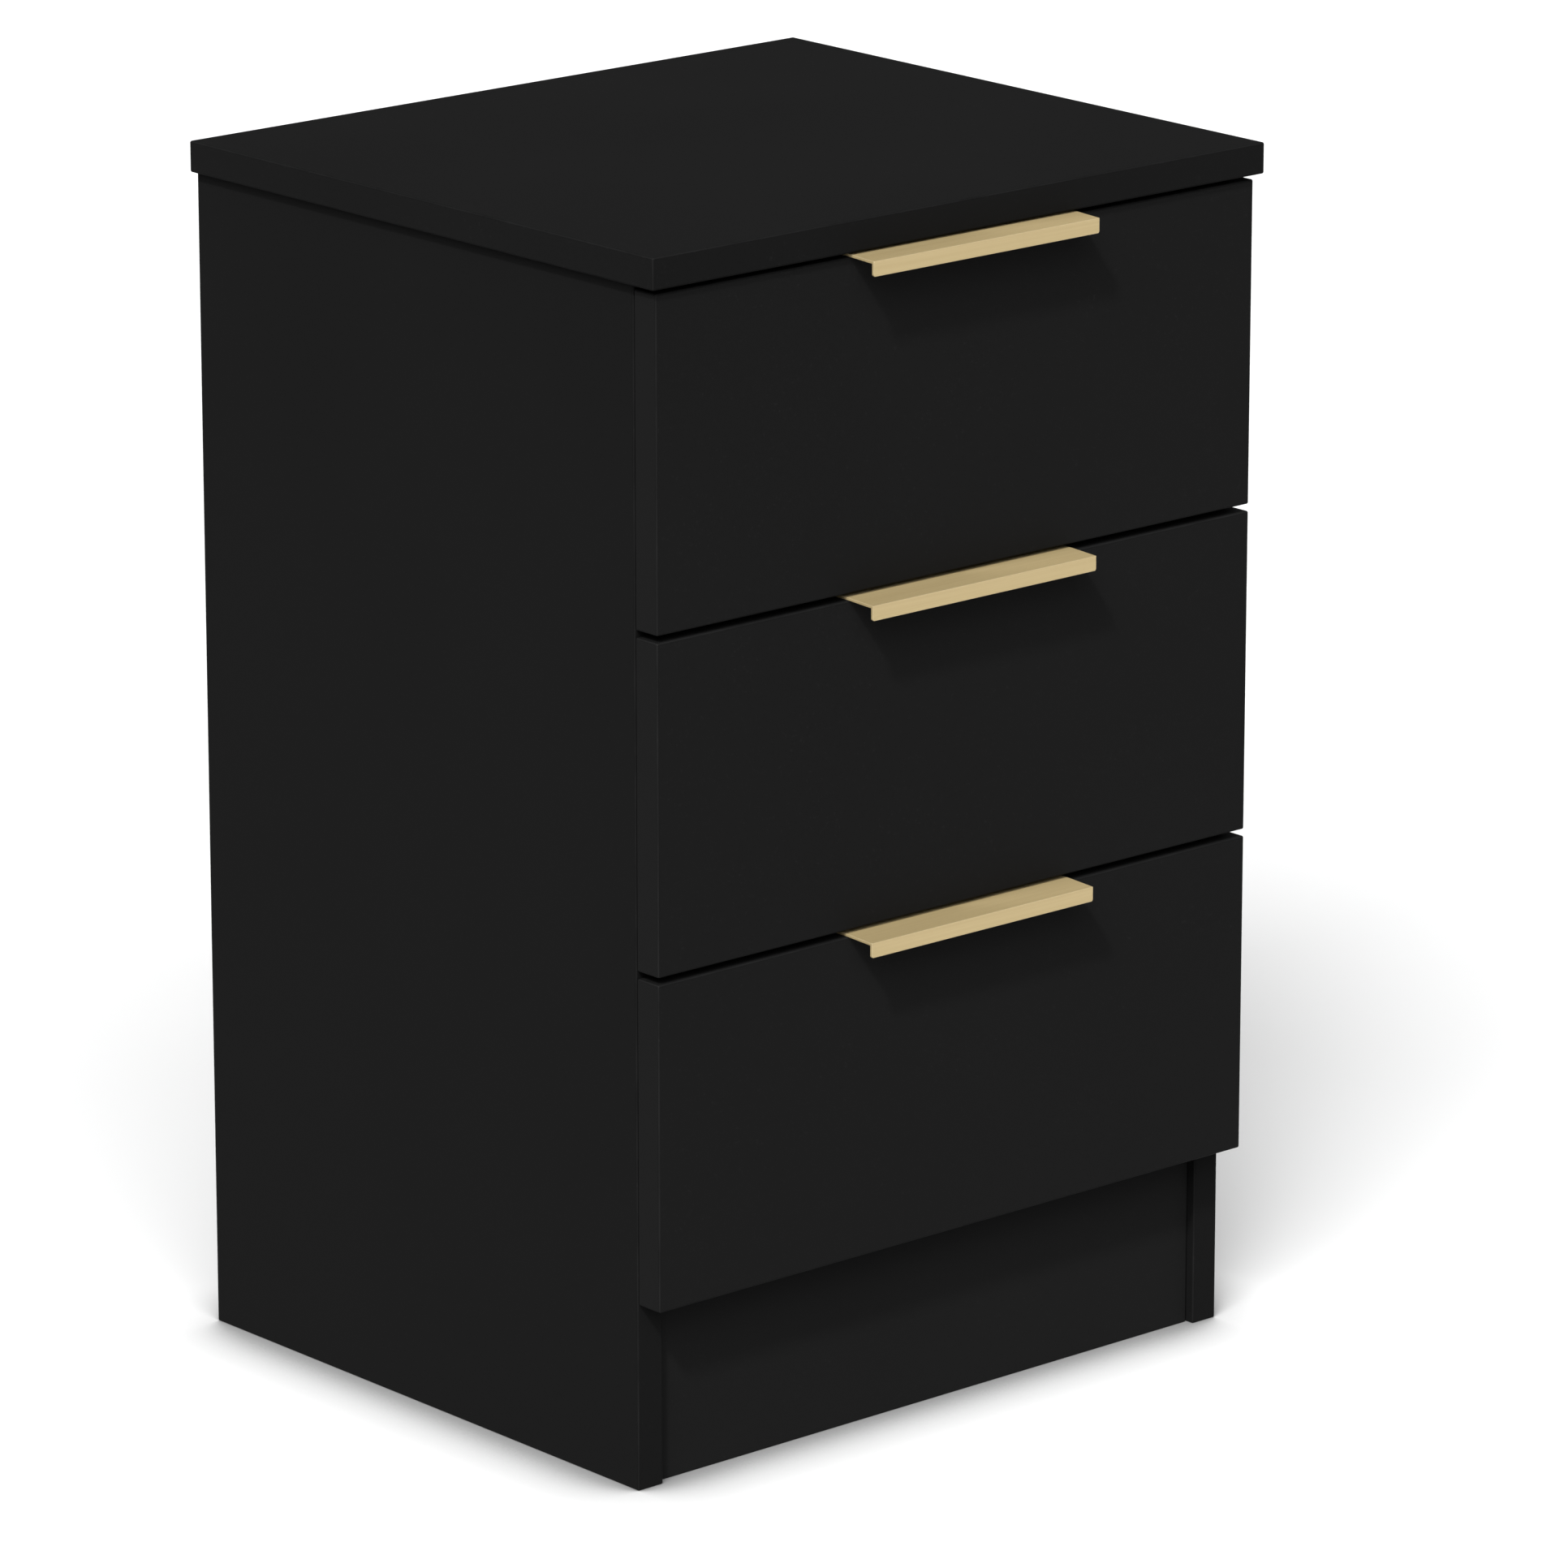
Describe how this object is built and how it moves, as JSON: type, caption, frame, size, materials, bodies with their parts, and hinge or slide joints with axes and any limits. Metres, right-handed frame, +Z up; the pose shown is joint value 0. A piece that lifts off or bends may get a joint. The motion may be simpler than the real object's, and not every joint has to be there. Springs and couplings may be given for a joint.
{
  "type": "nightstand with drawers",
  "caption": "Black bedside cabinet with stacked full-width drawers on roller runners, folded brass edge pulls and a recessed plinth.",
  "frame": {"origin": "on the floor, under the middle of the cabinet's box, edge pulls included", "axes": "+Z up, the drawers face -Y and open along -Y, +X to the right of someone facing the drawers"},
  "size_m": [0.45, 0.4166, 0.7],
  "materials": {
    "black_board": "matt black foil on 18 mm particle board",
    "black_front": "matt black foil on 18 mm fibreboard",
    "box_black": "matt black paper foil on 12 mm board",
    "black_hardboard": "lacquered 3 mm hardboard",
    "brushed_brass": "fine brushed, satin",
    "zinc_steel": "zinc-plated sheet",
    "white_nylon": "moulded nylon",
    "screw_steel": "zinc-plated"
  },
  "bodies": {
    "carcass": {"top_panel": "black_board", "side_panel_left": "black_board", "side_panel_right": "black_board", "bottom_panel": "black_board", "plinth_front": "black_board", "plinth_rear": "black_board", "back_panel": "black_hardboard", "top_cabinet_runner_left": "zinc_steel", "top_cabinet_runner_right": "zinc_steel", "middle_cabinet_runner_left": "zinc_steel", "middle_cabinet_runner_right": "zinc_steel", "bottom_cabinet_runner_left": "zinc_steel", "bottom_cabinet_runner_right": "zinc_steel"},
    "top_drawer": {"top_drawer_front": "black_front", "top_drawer_side_left": "box_black", "top_drawer_side_right": "box_black", "top_drawer_back": "box_black", "top_drawer_base": "black_hardboard", "top_handle": "brushed_brass", "top_handle_screw_left": "screw_steel", "top_handle_screw_right": "screw_steel", "top_drawer_runner_left": "zinc_steel", "top_drawer_runner_right": "zinc_steel"},
    "top_cabinet_roller_left": {"top_cabinet_roller_left": "white_nylon"},
    "top_drawer_roller_left": {"top_drawer_roller_left": "white_nylon"},
    "top_cabinet_roller_right": {"top_cabinet_roller_right": "white_nylon"},
    "top_drawer_roller_right": {"top_drawer_roller_right": "white_nylon"},
    "middle_drawer": {"middle_drawer_front": "black_front", "middle_drawer_side_left": "box_black", "middle_drawer_side_right": "box_black", "middle_drawer_back": "box_black", "middle_drawer_base": "black_hardboard", "middle_handle": "brushed_brass", "middle_handle_screw_left": "screw_steel", "middle_handle_screw_right": "screw_steel", "middle_drawer_runner_left": "zinc_steel", "middle_drawer_runner_right": "zinc_steel"},
    "middle_cabinet_roller_left": {"middle_cabinet_roller_left": "white_nylon"},
    "middle_drawer_roller_left": {"middle_drawer_roller_left": "white_nylon"},
    "middle_cabinet_roller_right": {"middle_cabinet_roller_right": "white_nylon"},
    "middle_drawer_roller_right": {"middle_drawer_roller_right": "white_nylon"},
    "bottom_drawer": {"bottom_drawer_front": "black_front", "bottom_drawer_side_left": "box_black", "bottom_drawer_side_right": "box_black", "bottom_drawer_back": "box_black", "bottom_drawer_base": "black_hardboard", "bottom_handle": "brushed_brass", "bottom_handle_screw_left": "screw_steel", "bottom_handle_screw_right": "screw_steel", "bottom_drawer_runner_left": "zinc_steel", "bottom_drawer_runner_right": "zinc_steel"},
    "bottom_cabinet_roller_left": {"bottom_cabinet_roller_left": "white_nylon"},
    "bottom_drawer_roller_left": {"bottom_drawer_roller_left": "white_nylon"},
    "bottom_cabinet_roller_right": {"bottom_cabinet_roller_right": "white_nylon"},
    "bottom_drawer_roller_right": {"bottom_drawer_roller_right": "white_nylon"}
  },
  "joints": [
    {"name": "top_drawer_slide", "type": "slide", "parent": "carcass", "child": "top_drawer", "axis": [0, -1, 0], "range_m": [0, 0.27]},
    {"name": "top_cabinet_roller_left_spin", "type": "hinge", "parent": "carcass", "child": "top_cabinet_roller_left", "pos_m": [-0.19725, -0.15575, 0.5265], "axis": [1, 0, 0], "range_deg": [0, 1830]},
    {"name": "top_drawer_roller_left_spin", "type": "hinge", "parent": "top_drawer", "child": "top_drawer_roller_left", "pos_m": [-0.19425, 0.16425, 0.5265], "axis": [1, 0, 0], "range_deg": [0, 1830]},
    {"name": "top_cabinet_roller_right_spin", "type": "hinge", "parent": "carcass", "child": "top_cabinet_roller_right", "pos_m": [0.19725, -0.15575, 0.5265], "axis": [1, 0, 0], "range_deg": [0, 1830]},
    {"name": "top_drawer_roller_right_spin", "type": "hinge", "parent": "top_drawer", "child": "top_drawer_roller_right", "pos_m": [0.19425, 0.16425, 0.5265], "axis": [1, 0, 0], "range_deg": [0, 1830]},
    {"name": "middle_drawer_slide", "type": "slide", "parent": "carcass", "child": "middle_drawer", "axis": [0, -1, 0], "range_m": [0, 0.27]},
    {"name": "middle_cabinet_roller_left_spin", "type": "hinge", "parent": "carcass", "child": "middle_cabinet_roller_left", "pos_m": [-0.19725, -0.15575, 0.335], "axis": [1, 0, 0], "range_deg": [0, 1830]},
    {"name": "middle_drawer_roller_left_spin", "type": "hinge", "parent": "middle_drawer", "child": "middle_drawer_roller_left", "pos_m": [-0.19425, 0.16425, 0.335], "axis": [1, 0, 0], "range_deg": [0, 1830]},
    {"name": "middle_cabinet_roller_right_spin", "type": "hinge", "parent": "carcass", "child": "middle_cabinet_roller_right", "pos_m": [0.19725, -0.15575, 0.335], "axis": [1, 0, 0], "range_deg": [0, 1830]},
    {"name": "middle_drawer_roller_right_spin", "type": "hinge", "parent": "middle_drawer", "child": "middle_drawer_roller_right", "pos_m": [0.19425, 0.16425, 0.335], "axis": [1, 0, 0], "range_deg": [0, 1830]},
    {"name": "bottom_drawer_slide", "type": "slide", "parent": "carcass", "child": "bottom_drawer", "axis": [0, -1, 0], "range_m": [0, 0.27]},
    {"name": "bottom_cabinet_roller_left_spin", "type": "hinge", "parent": "carcass", "child": "bottom_cabinet_roller_left", "pos_m": [-0.19725, -0.15575, 0.1435], "axis": [1, 0, 0], "range_deg": [0, 1830]},
    {"name": "bottom_drawer_roller_left_spin", "type": "hinge", "parent": "bottom_drawer", "child": "bottom_drawer_roller_left", "pos_m": [-0.19425, 0.16425, 0.1435], "axis": [1, 0, 0], "range_deg": [0, 1830]},
    {"name": "bottom_cabinet_roller_right_spin", "type": "hinge", "parent": "carcass", "child": "bottom_cabinet_roller_right", "pos_m": [0.19725, -0.15575, 0.1435], "axis": [1, 0, 0], "range_deg": [0, 1830]},
    {"name": "bottom_drawer_roller_right_spin", "type": "hinge", "parent": "bottom_drawer", "child": "bottom_drawer_roller_right", "pos_m": [0.19425, 0.16425, 0.1435], "axis": [1, 0, 0], "range_deg": [0, 1830]}
  ],
  "couplings": [
    {"joint": "top_cabinet_roller_left_spin", "follows": "top_drawer_slide", "rad_per_m": 117.65},
    {"joint": "top_drawer_roller_left_spin", "follows": "top_drawer_slide", "rad_per_m": 117.65},
    {"joint": "top_cabinet_roller_right_spin", "follows": "top_drawer_slide", "rad_per_m": 117.65},
    {"joint": "top_drawer_roller_right_spin", "follows": "top_drawer_slide", "rad_per_m": 117.65},
    {"joint": "middle_cabinet_roller_left_spin", "follows": "middle_drawer_slide", "rad_per_m": 117.65},
    {"joint": "middle_drawer_roller_left_spin", "follows": "middle_drawer_slide", "rad_per_m": 117.65},
    {"joint": "middle_cabinet_roller_right_spin", "follows": "middle_drawer_slide", "rad_per_m": 117.65},
    {"joint": "middle_drawer_roller_right_spin", "follows": "middle_drawer_slide", "rad_per_m": 117.65},
    {"joint": "bottom_cabinet_roller_left_spin", "follows": "bottom_drawer_slide", "rad_per_m": 117.65},
    {"joint": "bottom_drawer_roller_left_spin", "follows": "bottom_drawer_slide", "rad_per_m": 117.65},
    {"joint": "bottom_cabinet_roller_right_spin", "follows": "bottom_drawer_slide", "rad_per_m": 117.65},
    {"joint": "bottom_drawer_roller_right_spin", "follows": "bottom_drawer_slide", "rad_per_m": 117.65}
  ]
}
